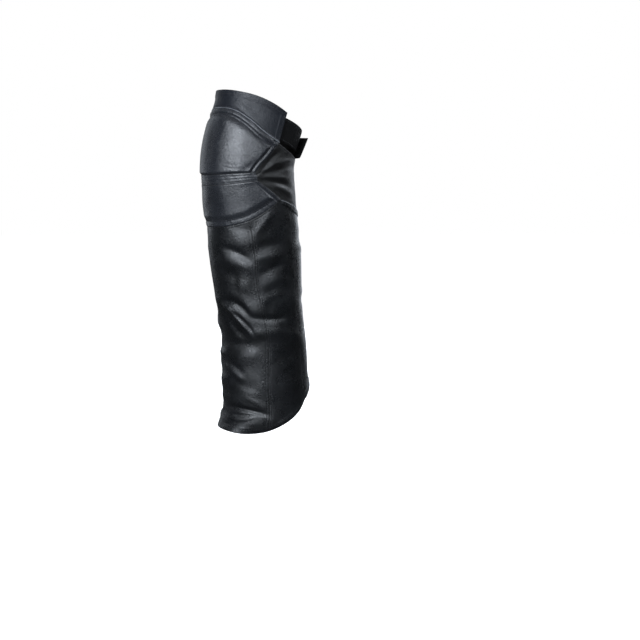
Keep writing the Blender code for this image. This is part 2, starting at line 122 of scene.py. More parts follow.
# Troughs and ridges of the worn leather: angle, height, slope in degrees, length,
# width, rise, and how far the ends bend up
FOLDS = (
    (47, -80, -15, 40, 7, -1.3, 0), (53, -103, -20, 40, 10, 1.2, -2),
    (75, -76, 48, 42, 7, 2.2, 0), (38, -117, -30, 54, 7, -2.8, -5),
    (36, -135, -22, 60, 11, 2.8, -2), (22, -152, -28, 48, 10, -1.8, 0),
    (78, -111, 3, 46, 8, -1.6, 0), (78, -131, 3, 46, 8, 1.7, 0),
    (80, -149, 18, 44, 7, -1.7, -2), (80, -170, 20, 40, 9, 1.7, -3),
    (77, -194, 20, 36, 8, 1.4, 0), (28, -188, -20, 44, 8, 0.9, -4),
    (28, -202, -25, 60, 5.5, -3.6, -9), (26, -216, -32, 60, 4.5, 1.7, -7),
    (36, -228, -46, 44, 3, -2.0, -4), (26, -224.5, -47, 70, 3.5, 2.6, -3),
    (17, -233, -48, 66, 7, -2.6, 0), (70, -229, -8, 58, 5, -3.2, 2),
    (66, -251, -5, 56, 10, 3.0, 0), (20, -266, -10, 66, 9, -2.4, 0),
    (34, -293, 8, 44, 12, 2.2, 0), (-20, -288, 0, 50, 8, 2.6, 0),
    (15, -307, -29, 40, 5, -1.6, 0), (15, -319, -29, 42, 5, 2.0, 0),
    (23, -338, -13, 60, 9, -0.9, 0), (36, -349, -22, 36, 5, 0.5, 0),
    (48, -367, -27, 38, 5, 1.0, 0), (-10, -331, 3, 50, 8, 1.8, 0),
    (-8, -351, 6, 64, 9, -2.0, 0), (31, -379, -9, 76, 4.5, -3.0, -2),
    (36, -383.5, -7, 54, 3, 0.8, -5), (36, -389, 0, 46, 2.6, -0.8, 0),
    (43, -172, 0, 22, 16, 1.6, 0), (26, -396.5, 3, 60, 3.4, 0.9, 6),
    (12, -405, 4, 50, 5, -1.4, 1), (-18, -369, 7, 56, 7, -1.8, 0),
    (5, -200, -11, 74, 8, 1.2, 0), (-26, -220, -53, 62, 8, -2.8, 0),
    (-34, -212, -50, 58, 5, 1.8, 3), (-40, -228, -38, 64, 6, 2.8, 4),
    (-50, -242, -34, 60, 7, -2.2, 0), (4, -249, 0, 70, 8, -1.2, 3),
    (-58, -120, 26, 64, 12, 2.0, 0), (-66, -142, 22, 60, 9, -1.8, 0),
    (-40, -98, 14, 50, 8, -1.2, 0), (-48, -316, -24, 66, 8, -2.2, 0),
    (-46, -298, -20, 60, 8, 1.9, 0), (-62, -352, 10, 56, 8, -1.6, 0),
    (-50, -380, -6, 70, 6, -2.0, 2), (-48, -390, -4, 72, 5, 1.8, -2),
    (100, -206, -8, 56, 12, 1.4, 0), (98, -292, 14, 58, 11, -1.6, 0),
    (98, -340, 8, 54, 10, 1.2, 0), (106, -262, -20, 48, 7, 1.2, 0),
    (152, -112, 6, 66, 10, -1.6, 0), (150, -128, -10, 50, 6, 1.0, 0),
    (188, -150, -12, 80, 11, 2.2, 5), (192, -167, -8, 66, 6, -1.4, 3),
    (168, -206, 10, 76, 10, -2.2, 0), (166, -192, 14, 56, 6, 1.2, 0),
    (212, -232, -14, 84, 10, 2.2, 0), (186, -276, 6, 84, 11, -2.4, -5),
    (184, -262, 2, 60, 6, 1.4, 0), (228, -300, 16, 70, 10, -2.0, 0),
    (196, -318, -8, 80, 9, 1.8, 0), (248, -180, 22, 66, 10, -2.2, 0),
    (256, -346, 10, 60, 9, 1.8, 0), (236, -120, -16, 60, 8, 1.4, 0),
    (89, 22, 52, 44, 5, -2.2, 0), (88, 11, 34, 40, 3.5, 1.2, 0),
    (96, 5, 14, 54, 5, -1.8, 3), (98, -5, -4, 50, 4, 1.4, 0),
    (97, -13, -14, 50, 5, -2.2, 0), (110, -27, -28, 50, 6, 1.6, 0),
    (116, 26, 20, 46, 6, 1.2, 0), (132, 16, 8, 40, 7, -1.2, 0),
    (184, 2, -4, 74, 8, 2.4, -4), (190, -15, 4, 78, 7, -2.8, -4),
    (192, -27, 2, 60, 4, 1.4, -3), (192, -38, -3, 74, 8, 2.0, -5),
    (190, -56, 3, 60, 7, -1.4, -3), (268, 12, -40, 50, 6, -2.2, 0),
    (266, 2, -24, 46, 4, 1.6, 0), (262, -8, -8, 60, 6, 2.0, 0),
    (256, -22, 14, 52, 6, -2.0, 0), (226, 18, -12, 62, 8, 2.0, 0),
    (216, 30, -8, 50, 5, -1.2, 0), (22, 40, 90, 84, 13, 1.5, 0),
    (30, -3, 0, 100, 21, 2.1, 0), (52, -212, -8, 38, 17, 2.8, 0),
    (30, -22, 0, 96, 11, 0.6, 0), (30, -47, 0, 96, 12, -0.6, 0),
    (64, -425, -3, 88, 15, -10.0, 0), (26, -40, 90, 60, 14, 0.9, 0),
    (60, 9, 34, 30, 4, -0.8, 0), (62, 7, -42, 26, 1.8, -0.8, 0),
    (40, 8, -6, 34, 1.5, -0.45, 1), (36, 13, -10, 30, 1.4, -0.35, 1),
    (71, -1, -62, 14, 1.9, 0.7, 0), (76, -3, -50, 14, 1.9, 0.6, 1),
    (73.5, 1, 20, 12, 1.6, -0.5, 0), (-54, 10, -34, 30, 4, -0.8, 0),
    (30, 95, -14, 40, 7, 0.8, 0), (52, 92, -24, 34, 6, -0.8, 0),
    (-30, 98, 12, 44, 8, -0.8, 0), (-106, 56, 0, 70, 34, 5.5, 0),
)

# Borders of the knee pads: width, steepness of the pad's shoulder, depth and width of
# the stitched channel between them, and place, width and rise of the border's ridge
UPPER_BORDERS = {
    **dict.fromkeys(("start", "end"), (6.6, 1.9, 0.8, 2.6, 3.4, 2.2, 0.55)),
    "top": (9.0, 0.9, 2.2, 2.3, 6.2, 3.8, 1.6),
}
LOWER_BORDERS = {
    **dict.fromkeys(("start", "end"), (6.3, 1.2, 0.9, 2.0, 3.1, 1.8, 0.2)),
    "low": (6.8, 1.0, 0.35, 1.1, 3.4, 1.8, 0.0),
}

# Tucks of the knee strip: share of its height from the top, and rise
STRIP_TUCKS = ((0.12, 0.5), (0.42, 0.3), (0.72, 0.3))

# Uneven hide: cell in millimetres, rise and seed
HIDE = ((46.0, 0.55, 3), (23.0, 0.34, 7), (11.0, 0.14, 12))
HIDE_LOWEST = -460
HIDE_LENGTH = 640


def smooth_column(rows, column, places):
    """One column of a table, read as a smooth curve over the first column."""
    rows = sorted(rows)
    stations = np.array([row[0] for row in rows], float)
    values = np.array([row[column] for row in rows], float)
    slopes = np.gradient(values, stations)
    i = np.clip(np.searchsorted(stations, places) - 1, 0, len(stations) - 2)
    step = stations[i + 1] - stations[i]
    t = (places - stations[i]) / step
    start = values[i] * (1 + 2 * t) * (1 - t) ** 2 + step * slopes[i] * t * (1 - t) ** 2
    end = values[i + 1] * t * t * (3 - 2 * t) - step * slopes[i + 1] * t * t * (1 - t)
    return start + end


class LegForm:
    """The leg form, with its sections read every millimetre of height."""

    def __init__(self, sections):
        self.heights = np.arange(sections[-1][0] - FORM_TAIL, sections[0][0] + 1.0, TABLE_STEP)
        self.lean = np.radians(smooth_column(sections, 1, self.heights))
        self.half_width = smooth_column(sections, 2, self.heights)
        self.front = smooth_column(sections, 3, self.heights)
        self.back = smooth_column(sections, 4, self.heights)
        self.centre_y = np.cumsum(np.sin(self.lean)) * TABLE_STEP
        self.centre_z = np.cumsum(np.cos(self.lean)) * TABLE_STEP
        origin = self.centre(ORIGIN_HEIGHT)
        self.centre_y -= origin[0]
        self.centre_z -= origin[1]

    def read(self, column, height):
        return np.interp(height, self.heights, column)

    def centre(self, height):
        return self.read(self.centre_y, height), self.read(self.centre_z, height)

    def point(self, angle, height):
        turn = np.radians(angle)
        lean = self.read(self.lean, height)
        centre_y, centre_z = self.centre(height)
        depth = np.where(
            np.cos(turn) > 0,
            self.read(self.front, height),
            self.read(self.back, height),
        )
        across = self.read(self.half_width, height) * np.sin(turn)
        behind = -depth * np.cos(turn)
        return np.stack(
            [across, centre_y + behind * np.cos(lean), centre_z - behind * np.sin(lean)],
            axis=-1,
        )

    def outward(self, angle, height):
        """Unit normals of the form, from two short steps along it."""
        here = self.point(angle, height)
        round_leg = self.point(angle + 0.5, height) - here
        up_leg = self.point(angle, height + 0.5) - here
        normal = np.cross(round_leg, up_leg)
        return normal / np.linalg.norm(normal, axis=-1, keepdims=True)


def hide_noise(angle, height, cell, seed):
    """Smooth noise from -1 to 1 that closes round the leg, one value a cell."""
    rounds = int(round(360 * MM_PER_DEGREE / cell))
    rows = int(HIDE_LENGTH / cell) + 3
    values = np.random.default_rng(seed).uniform(-1.0, 1.0, (rounds, rows))
    x = angle / 360 % 1 * rounds
    y = (height - HIDE_LOWEST) / cell
    i = np.floor(x).astype(int)
    j = np.clip(np.floor(y).astype(int), 0, rows - 2)
    across = smoothstep(x - i)
    up = smoothstep(y - j)
    low = values[i % rounds, j] * (1 - across) + values[(i + 1) % rounds, j] * across
    high = values[i % rounds, j + 1] * (1 - across) + values[(i + 1) % rounds, j + 1] * across
    return low * (1 - up) + high * up


def fold_height(angle, height):
    """How far the worn leather stands out of the form, from folds and uneven hide."""
    total = np.zeros_like(angle)
    for at_angle, at_height, slope, length, width, rise, bend in FOLDS:
        turn = (angle - at_angle + 180) % 360 - 180
        x = turn * MM_PER_DEGREE
        y = height - at_height
        slant = np.radians(slope)
        lengthwise = 2 * (x * np.cos(slant) + y * np.sin(slant)) / length
        crosswise = y * np.cos(slant) - x * np.sin(slant) - bend * lengthwise ** 2
        total = total + rise * np.exp(-(crosswise / width) ** 2 - lengthwise ** 4)
    for cell, rise, seed in HIDE:
        total = total + rise * hide_noise(angle, height, cell, seed)
    return total


def run_along(line):
    """The length run along a line up to each of its points, in millimetres."""
    steps = np.linalg.norm(np.diff(line * FLAT_SCALE, axis=0), axis=1)
    return np.concatenate([[0.0], np.cumsum(steps)])


def sewn_line(points):
    """A smooth line through a few points of the pattern, about 2 mm apart."""
    points = np.array(points, float)
    run = run_along(points)
    places = np.linspace(0.0, run[-1], int(run[-1] / LINE_STEP) + 2)
    columns = [smooth_column(list(zip(run, values)), 1, places) for values in points.T]
    return np.stack(columns, axis=-1)


def between(line, first, last):
    """The stretch of a line between two angles."""
    heights = np.interp([first, last], line[:, 0], line[:, 1])
    inside = line[(line[:, 0] > first + 0.5) & (line[:, 0] < last - 0.5)]
    return np.vstack([[first, heights[0]], inside, [last, heights[1]]])


def turned(line, degrees):
    return line + np.array([degrees, 0.0])


def joined(first, second):
    return np.vstack([first, second[1:]])


def straight(first, last):
    return np.array([first, last], float)


def upwards(line):
    return line[::-1]


def line_length(line):
    return run_along(line)[-1]


def place_on(line, share):
    """Points at shares of a line's length, from 0 to 1."""
    run = run_along(line)
    columns = [np.interp(share, run / run[-1], values) for values in line.T]
    return np.stack(columns, axis=-1)


def smoothstep(x):
    x = np.clip(x, 0.0, 1.0)
    return x * x * (3 - 2 * x)


def ridge(distance, at, width, rise):
    """A soft round ridge along a line beside an edge, or a groove where rise is below 0."""
    return rise * np.exp(-((distance - at) / width) ** 2)


def plain_relief(edges, angle, height):
    return seam_roll(edges, "start", "end", "low", "top")


def lies_on_form(angle, edges):
    return np.zeros_like(angle)


def nearest_of(edges, sides):
    return np.min([edges[side] for side in sides], axis=0)


class Panel:
    """A cut piece between four sewn lines: low, top, start side and end side.

    Low and top run with rising angle, and the sides run upwards. The wall's relief is
    a function of the distances to the edges, and its lift one of angle and edges.
    Along some of its sides a pale line is painted, from a given angle onwards: a
    painted highlight on the folded edge, partly edge wear.
    """

    def __init__(
        self, low, top, start, end, wall=LEATHER, relief=plain_relief,
        lift=lies_on_form, wear_and_sheen=(), highlight_line_from=-360.0,
    ):
        self.low = low
        self.top = top
        self.start = start
        self.end = end
        self.wall = wall
        self.relief = relief
        self.lift = lift
        self.wear_and_sheen = wear_and_sheen
        self.highlight_line_from = highlight_line_from

    def blend(self, s, t):
        """Angle and height at shares s along the panel and t up it."""
        low = place_on(self.low, s)
        top = place_on(self.top, s)
        start = place_on(self.start, t)
        end = place_on(self.end, t)
        s = s[:, None]
        t = t[:, None]
        corners = (
            (1 - s) * (1 - t) * self.low[0] + s * (1 - t) * self.low[-1]
            + (1 - s) * t * self.top[0] + s * t * self.top[-1]
        )
        return (1 - t) * low + t * top + (1 - s) * start + s * end - corners

    def spans(self, s, t):
        """Width and height of the panel through a point, in millimetres."""
        zeros = np.zeros_like(s)
        ones = np.ones_like(s)
        across = (self.blend(ones, t) - self.blend(zeros, t)) * FLAT_SCALE
        up = (self.blend(s, ones) - self.blend(s, zeros)) * FLAT_SCALE
        return np.linalg.norm(across, axis=1), np.linalg.norm(up, axis=1)

    def edges_at(self, s, t):
        """Distances from a point to the four sides, in millimetres."""
        width, height = self.spans(s, t)
        return {
            "start": s * width,
            "end": (1 - s) * width,
            "low": t * height,
            "top": (1 - t) * height,
        }

    def carry(self, s, t, outer):
        """Points of the wall: its inner face where outer is 0 and its outer one at 1."""
        width, height = self.spans(s, t)
        s = (SEAM_GAP / 2 + s * (width - SEAM_GAP)) / width
        t = (SEAM_GAP / 2 + t * (height - SEAM_GAP)) / height
        edges = self.edges_at(s, t)
        place = self.blend(s, t)
        angle, up = place[:, 0], place[:, 1]
        stand = self.lift(angle, edges) + fold_height(angle, up)
        stand = stand + outer * (self.wall + self.relief(edges, angle, up))
        return FORM.point(angle, up) + FORM.outward(angle, up) * stand[:, None]

    def flat_size(self):
        """Width, length and area of the flat cut, in millimetres."""
        samples = 40
        step = 1e-3
        shares = (np.arange(samples) + 0.5) / samples
        s, t = [grid.ravel() for grid in np.meshgrid(shares, shares)]
        here = self.blend(s, t) * FLAT_SCALE
        along = (self.blend(s + step, t) * FLAT_SCALE - here) / step
        up = (self.blend(s, t + step) * FLAT_SCALE - here) / step
        area = np.abs(along[:, 0] * up[:, 1] - along[:, 1] * up[:, 0]).mean()
        outline = np.vstack([self.low, self.top, self.start, self.end]) * FLAT_SCALE
        size = outline.max(axis=0) - outline.min(axis=0)
        return size[0], size[1], area


def seam_roll(edges, *sides):
    """Leather rolls down into a seam and sinks a little along the stitching."""
    nearest = nearest_of(edges, sides)
    rolled = ridge(nearest, at=0.0, width=0.9, rise=-0.30)
    return rolled + ridge(nearest, at=STITCH_INSET, width=0.8, rise=-0.26)


def puckers(edges, sides, angle, height, wave, rise):
    """Small ripples that the stitching draws across a border."""
    nearest = nearest_of(edges, sides)
    run = 2 * np.pi * (angle * MM_PER_DEGREE + height) / wave
    ripple = np.sin(run) + 0.5 * np.sin(run * 1.7 + 1.0)
    return ripple * ridge(nearest, at=4.0, width=4.5, rise=rise)


def folded_edges(folded, sewn, rise=FOLDED_EDGE_RISE):
    """Relief of a wall folded over along some edges and sewn along the others."""

    def relief(edges, angle, height):
        nearest = nearest_of(edges, folded)
        doubled = rise * (1 - smoothstep((nearest - FOLDED_EDGE) / FOLD_SLOPE))
        doubled = doubled + ridge(nearest, at=FOLDED_EDGE - 1.5, width=1.2, rise=-0.15)
        doubled = doubled + puckers(edges, folded, angle, height, wave=17.0, rise=0.10)
        return doubled + (seam_roll(edges, *sewn) if sewn else 0.0)

    return relief


def knee_pad(knee_seam, seam_rise, borders, shoulder, lip=0.0):
    """Relief of a padded panel with stitched borders and a seam across the knee.

    The pad falls to seam_rise at the seam over the length of its shoulder.
    """

    def relief(edges, angle, height):
        inset = {
            side: STITCHED_BORDER + (edges[side] - width) * steepness
            for side, (width, steepness, *_) in borders.items()
        }
        nearest = nearest_of(inset, borders)
        risen = smoothstep((nearest - STITCHED_BORDER) / PAD_SHOULDER)
        pad = BORDER_RISE + (PAD_RISE - BORDER_RISE) * risen
        pad = pad + PAD_CROWN * (1 - np.exp(-(nearest / PAD_CROWN_REACH) ** 2))
        at_seam = 1 - smoothstep(edges[knee_seam] / shoulder)
        pad = pad + (np.minimum(pad, seam_rise) - pad) * at_seam
        channels = []
        for side, (_, _, depth, wide, *_) in borders.items():
            at = STITCHED_BORDER + CHANNEL_SHIFT_SHARE * wide
            channels.append(ridge(inset[side], at=at, width=wide, rise=-depth))
        pad = pad + np.min(channels, axis=0)
        for side, (*_, place, wide, rise) in borders.items():
            pad = pad + ridge(edges[side], at=place, width=wide, rise=rise)
        pad = pad + ridge(nearest_of(edges, borders), at=0.0, width=0.8, rise=-0.5)
        pad = pad + ridge(edges[knee_seam], at=0.0, width=4.5, rise=lip)
        pad = pad + ridge(edges[knee_seam], at=0.0, width=1.0, rise=-0.45)
        return pad + puckers(edges, borders, angle, height, wave=14.0, rise=0.18)

    return relief


def knee_strip_relief(edges, angle, height):
    """Three fine tucks side by side, flattened where the strip runs out."""
    ends = np.minimum(edges["start"], edges["end"])
    risen = smoothstep(ends / PAD_SHOULDER)
    width = edges["low"] + edges["top"]
    strip = BORDER_RISE + (STRIP_RISE - BORDER_RISE) * risen
    for share, tuck in STRIP_TUCKS:
        strip = strip + ridge(edges["top"], at=share * width, width=1.1, rise=tuck) * risen
    return strip + puckers(edges, ("low", "top"), angle, height, wave=13.0, rise=0.10)


def lapped_band(edges, angle, height):
    """The band is folded at the rim and its ends, and laps over the pad's border."""
    lap = 0.9 * (1 - smoothstep((edges["low"] - 1.6) / 1.8))
    lap = lap + ridge(edges["low"], at=STITCH_INSET, width=0.9, rise=-0.45)
    return lap + folded_edges(("top", "start", "end"), (), rise=0.6)(edges, angle, height)


def calf_inner_relief(edges, angle, height):
    """Sewn at its sides; behind the knee its top edge is folded over the gusset."""
    free_top = smoothstep((angle - KNEE_ARC[-1, 0]) / 3.0)
    fold = BACK_TOP_RISE * (1 - smoothstep((edges["top"] - 5.0) / FOLD_SLOPE))
    hem = folded_edges(("low",), ("start", "end", "top"), rise=HEM_RISE)
    return hem(edges, angle, height) + free_top * fold * smoothstep(edges["low"] / 40.0)


def strap_relief(edges, angle, height):
    """Thinned long edges, with a shallow line under their stitching."""
    long_edge = nearest_of(edges, ("low", "top"))
    thinned = ridge(long_edge, at=0.0, width=1.2, rise=-0.35)
    return thinned + ridge(long_edge, at=STRAP_INSET, width=0.9, rise=-0.25)


FORM = LegForm(SECTIONS)

# Sewn lines of the pattern, as (angle, height)
RIM = sewn_line((
    (-108, 100), (-95, 104), (-60, 112), (-30, 116), (0, 115),
    (30, 115), (60, 114), (80, 110), (97, 105),
))
BAND_SEAM = sewn_line((
    (-108, 50), (-84, 59), (-60, 71), (-34, 81), (0, 84),
    (34, 82), (53, 73.5), (70, 63.5), (97, 53.5),
))
KNEE_STRIP_TOP = sewn_line(((-60, 2), (-30, 1), (0, 0), (36, 1), (70, 3)))
KNEE_STRIP_LOW = sewn_line(((-63, -10), (-32, -12), (0, -13), (38, -12), (73, -9)))
UPPER_INNER_SIDE = sewn_line(((70, 3), (76, 13), (87.5, 29), (97, 53.5)))
UPPER_OUTER_SIDE = sewn_line(((-60, 2), (-70, 12), (-86, 26), (-108, 50)))
LOWER_INNER_SIDE = sewn_line(((73, -9), (86, -22), (103, -42)))
LOWER_OUTER_SIDE = sewn_line(((-63, -10), (-84, -21), (-110, -36)))
KNEE_ARC = sewn_line((
    (-110, -36), (-84, -54), (-57, -68), (-34, -74), (0, -75),
    (36, -73.5), (57, -68.5), (81, -55.5), (103, -42),
))
GUSSET_TOP = sewn_line((
    (97, 53.5), (120, 47.5), (150, 42), (180, 39), (215, 41), (252, 50),
))
GUSSET_LOW = sewn_line((
    (103, -42), (122, -52.5), (150, -67), (180, -75), (215, -64), (250, -36),
))
INNER_SEAM = sewn_line((
    (57, -68.5), (60, -95), (60, -180), (63, -218), (65, -250), (65, -340),
    (66, -415.5),
))
BACK_INNER_SEAM = sewn_line((
    (122, -52.5), (120, -112), (119, -200), (121, -300), (124, -368),
))
BACK_OUTER_SEAM = sewn_line((
    (276, -54), (279, -112), (280, -210), (280, -290), (277, -405),
))
HEM = sewn_line((
    (-83, -405), (-60, -411), (-30, -412), (0, -415), (36, -418.5), (66, -415.5),
    (89, -402), (109, -386), (124, -368), (150, -351), (180, -344), (210, -350),
    (236, -365), (256, -386), (277, -405),
))
INNER_KNEE_END = KNEE_STRIP_LOW[-1], KNEE_STRIP_TOP[-1]
OUTER_KNEE_END = KNEE_STRIP_LOW[0], KNEE_STRIP_TOP[0]
OUTER_SEAM_ANGLE = BACK_OUTER_SEAM[0, 0] - 360


def strap_panel(start, end, lift):
    """A strap from one (angle, middle height) to another, at its full width."""
    half = np.array([0.0, STRAP_HALF_WIDTH])
    start = np.array(start, float)
    end = np.array(end, float)
    return Panel(
        low=straight(start - half, end - half),
        top=straight(start + half, end + half),
        start=straight(start - half, start + half),
        end=straight(end - half, end + half),
        wall=STRAP_WALL,
        relief=strap_relief,
        lift=lift,
    )


def inner_strap_lift(angle, edges):
    return np.full_like(angle, UNDER_FORM)


def outer_strap_lift(angle, edges):
    """Over the inner strap, then under the band's end; its free end stands out."""
    tucked = UNDER_FORM * smoothstep((angle - STRAP_TUCK_ANGLE) / STRAP_TUCK_SPAN)
    free = np.clip(1 - edges["start"] / FREE_END_LENGTH, 0.0, 1.0) ** 2
    high = edges["low"] / (2 * STRAP_HALF_WIDTH)
    return tucked + free * (FREE_END_LIFT + FREE_CORNER_LIFT * high)


PANELS = {
    "top_band": Panel(
        low=BAND_SEAM,
        top=RIM,
        start=straight(BAND_SEAM[0], RIM[0]),
        end=straight(BAND_SEAM[-1], RIM[-1]),
        wall=BAND_WALL,
        relief=lapped_band,
        wear_and_sheen=("low",),
    ),
    "upper_knee_panel": Panel(
        low=KNEE_STRIP_TOP,
        top=BAND_SEAM,
        start=UPPER_OUTER_SIDE,
        end=UPPER_INNER_SIDE,
        relief=knee_pad("low", UPPER_SEAM_RISE, UPPER_BORDERS, shoulder=3.5),
    ),
    "knee_strip": Panel(
        low=KNEE_STRIP_LOW,
        top=KNEE_STRIP_TOP,
        start=straight(*OUTER_KNEE_END),
        end=straight(*INNER_KNEE_END),
        relief=knee_strip_relief,
    ),
    "lower_knee_panel": Panel(
        low=KNEE_ARC,
        top=KNEE_STRIP_LOW,
        start=upwards(LOWER_OUTER_SIDE),
        end=upwards(LOWER_INNER_SIDE),
        relief=knee_pad("top", LOWER_SEAM_RISE, LOWER_BORDERS, shoulder=42.0, lip=0.4),
    ),
    "knee_gusset": Panel(
        low=joined(
            joined(LOWER_INNER_SIDE, GUSSET_LOW),
            turned(upwards(LOWER_OUTER_SIDE), 360),
        ),
        top=joined(
            joined(UPPER_INNER_SIDE, GUSSET_TOP),
            turned(upwards(UPPER_OUTER_SIDE), 360),
        ),
        start=straight(*INNER_KNEE_END),
        end=turned(straight(*OUTER_KNEE_END), 360),
    ),
    "shin_panel": Panel(
        low=between(HEM, HEM[0, 0], INNER_SEAM[-1, 0]),
        top=between(KNEE_ARC, OUTER_SEAM_ANGLE, INNER_SEAM[0, 0]),
        start=turned(upwards(BACK_OUTER_SEAM), -360),
        end=upwards(INNER_SEAM),
        relief=folded_edges(("low",), ("start", "end", "top"), rise=HEM_RISE),
    ),
    "calf_inner_panel": Panel(
        low=between(HEM, INNER_SEAM[-1, 0], BACK_INNER_SEAM[-1, 0]),
        top=joined(
            between(KNEE_ARC, INNER_SEAM[0, 0], KNEE_ARC[-1, 0]),
            between(GUSSET_LOW, GUSSET_LOW[0, 0], BACK_INNER_SEAM[0, 0]),
        ),
        start=upwards(INNER_SEAM),
        end=upwards(BACK_INNER_SEAM),
        relief=calf_inner_relief,
        wear_and_sheen=("top",),
        highlight_line_from=KNEE_ARC[-1, 0],
    ),
    "calf_back_panel": Panel(
        low=between(HEM, BACK_INNER_SEAM[-1, 0], BACK_OUTER_SEAM[-1, 0]),
        top=joined(
            between(GUSSET_LOW, BACK_INNER_SEAM[0, 0], GUSSET_LOW[-1, 0]),
            turned(between(KNEE_ARC, KNEE_ARC[0, 0], OUTER_SEAM_ANGLE), 360),
        ),
        start=upwards(BACK_INNER_SEAM),
        end=upwards(BACK_OUTER_SEAM),
        relief=folded_edges(("top", "low"), ("start", "end"), rise=BACK_TOP_RISE - 0.4),
        wear_and_sheen=("top",),
    ),
    "strap_inner": strap_panel((80, 79), (205, 75), inner_strap_lift),
    "strap_outer": strap_panel((146, 67), (262, 78), outer_strap_lift),
}


def denser_at_edges(share):
    """Moves grid lines towards both edges, where seams need the finest cells."""
    return share - EDGE_DENSITY * np.sin(2 * np.pi * share) / (2 * np.pi)


def cells_for(length):
    return int(round(length * (1 + EDGE_DENSITY) / CELL))


def flat_slab(name, columns, rows):
    """A unit square slab of grid cells, its inner face at 0 and its outer one at 1."""
    maker = bmesh.new()
    bmesh.ops.create_grid(maker, x_segments=columns, y_segments=rows, size=0.5)
    copied = bmesh.ops.extrude_face_region(maker, geom=maker.faces[:], use_keep_orig=True)
    outer = [item for item in copied["geom"] if isinstance(item, bmesh.types.BMVert)]
    bmesh.ops.translate(maker, verts=outer, vec=(0.0, 0.0, 1.0))
    bmesh.ops.recalc_face_normals(maker, faces=maker.faces[:])
    mesh = bpy.data.meshes.new(name)
    maker.to_mesh(mesh)
    maker.free()
    return mesh


def read_vectors(items, label):
    """One vector property of all a mesh's vertices or faces, as rows of three."""
    flat = np.zeros(len(items) * 3)
    items.foreach_get(label, flat)
    return flat.reshape(-1, 3)


def fine_wall(name):
    """A panel as a fine closed wall, its outer face leather and its inner one raw."""
    panel = PANELS[name]
    middle = np.array([0.5])
    columns = cells_for(max(line_length(panel.low), line_length(panel.top)))
    height = panel.spans(middle, middle)[1][0]
    rows = cells_for(max(line_length(panel.start), line_length(panel.end), height))
    mesh = flat_slab(name + "_wall", columns, max(FEWEST_ROWS, rows))

    flat = read_vectors(mesh.vertices, "co")
    faces = read_vectors(mesh.polygons, "center")
    s = denser_at_edges(flat[:, 0] + 0.5)
    t = denser_at_edges(flat[:, 1] + 0.5)
    carried = panel.carry(s, t, (flat[:, 2] > 0.5).astype(float))
    mesh.vertices.foreach_set("co", (carried * MM).ravel())

    edges = panel.edges_at(s, t)
    nearest = nearest_of(edges, ("start", "end", "low", "top"))
    # Distance to the sides that carry the painted highlight line, partly edge wear; far off
    # elsewhere
    wear_and_sheen = nearest_of(edges, panel.wear_and_sheen) if panel.wear_and_sheen else nearest + NO_HIGHLIGHT_LINE
    wear_and_sheen = wear_and_sheen + NO_HIGHLIGHT_LINE * (panel.blend(s, t)[:, 0] < panel.highlight_line_from)
    for label, values in (("edge_distance", nearest), ("highlight_line_distance", wear_and_sheen)):
        attribute = mesh.attributes.new(label, "FLOAT", "POINT")
        attribute.data.foreach_set("value", values.astype(np.float32))
    is_inner = faces[:, 2] < 0.01
    mesh.polygons.foreach_set("material_index", is_inner.astype(np.int32))
    mesh.update()
    mesh.shade_smooth()
    return mesh


def add_object(name, data):
    made = bpy.data.objects.new(name, data)
    bpy.context.scene.collection.objects.link(made)
    return made


def add_piece(name, mesh, *materials):
    for material in materials:
        mesh.materials.append(material)
    return add_object(name, mesh)


def soft_rim(piece):
    """Rounds the wall's cut edges."""
    bevel = piece.modifiers.new("edge_round", "BEVEL")
    bevel.width = EDGE_ROUND * MM
    bevel.segments = 2
    bevel.limit_method = "ANGLE"
    bevel.angle_limit = math.radians(50)


def stitch_row(panel, side, distance, first, last):
    """Places, directions and normals of stitches along one side of a panel."""
    line = {"low": panel.low, "top": panel.top, "start": panel.start, "end": panel.end}[side]
    is_level = side in ("low", "top")
    length = line_length(line) * (last - first)
    count = int(length / STITCH_PITCH)
    along = first + (last - first) * (np.arange(count) + 0.5) / count
    step = 0.25 * STITCH_PITCH / length

    def outer_points(shift, inset):
        run = np.clip(along + shift, 0.0, 1.0)
        half = np.full_like(run, 0.5)
        width, height = panel.spans(run, half) if is_level else panel.spans(half, run)
        share = np.clip((distance + inset) / (height if is_level else width), 0.0, 1.0)
        if side in ("top", "end"):
            share = 1 - share
        s, t = (run, share) if is_level else (share, run)
        return panel.carry(s, t, np.ones_like(s))

    here = outer_points(0.0, 0.0)
    forward = outer_points(step, 0.0) - outer_points(-step, 0.0)
    sideways = outer_points(0.0, 0.4) - here
    forward = forward / np.linalg.norm(forward, axis=1, keepdims=True)
    normal = np.cross(forward, sideways)
    normal = normal / np.linalg.norm(normal, axis=1, keepdims=True)
    away = here - axis_points(here)
    flip = np.sign((normal * away).sum(axis=1))[:, None]
    return here, forward, normal * flip


def axis_points(points):
    """The middle of the leg form level with each point."""
    centre_y = np.interp(points[:, 2], FORM.centre_z, FORM.centre_y)
    return np.stack([np.zeros(len(points)), centre_y, points[:, 2]], axis=-1)


def sew(maker, row):
    """Adds one short round stitch for each place of a row."""
    size = Matrix.Diagonal((STITCH_LENGTH / 2, THREAD_RADIUS, THREAD_RADIUS, 1.0))
    size = size @ Matrix.Rotation(math.pi / 2, 4, "Y")
    for here, forward, normal in zip(*row):
        across = Vector(normal).cross(Vector(forward))
        turn = Matrix((Vector(forward), across, Vector(normal))).transposed().to_4x4()
        place = Matrix.Translation(Vector(here + THREAD_LIFT * normal) * MM)
        bmesh.ops.create_uvsphere(
            maker, u_segments=6, v_segments=4, radius=MM, matrix=place @ turn @ size
        )


